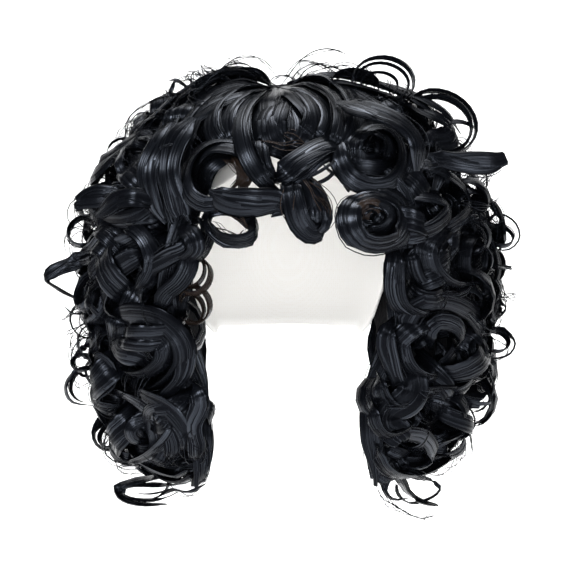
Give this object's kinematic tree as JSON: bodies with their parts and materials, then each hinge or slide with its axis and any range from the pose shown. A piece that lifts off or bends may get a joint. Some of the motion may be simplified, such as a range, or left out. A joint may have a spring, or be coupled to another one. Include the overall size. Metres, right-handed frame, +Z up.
{
  "type": "curly wig",
  "caption": "Black curly wig on an open net cap, with a curled fringe, a full crown and long curls that fall on both sides of the neck.",
  "frame": {"origin": "inside of the cap where the crown of the head bears on it", "axes": "+Z up out of the crown, -Y towards the face, +X towards the right of the picture, which is the wearer's left"},
  "size_m": [0.3413, 0.2708, 0.3229],
  "materials": {
    "cap_net": "fine knitted net, matt",
    "hair": "curled synthetic fibre, black, soft sheen"
  },
  "bodies": {
    "root": {"cap": "cap_net", "crown_left_hair": "hair", "crown_right_hair": "hair", "fringe_left_hair": "hair", "fringe_right_hair": "hair", "side_left_hair": "hair", "side_right_hair": "hair", "back_hair": "hair"}
  },
  "joints": []
}
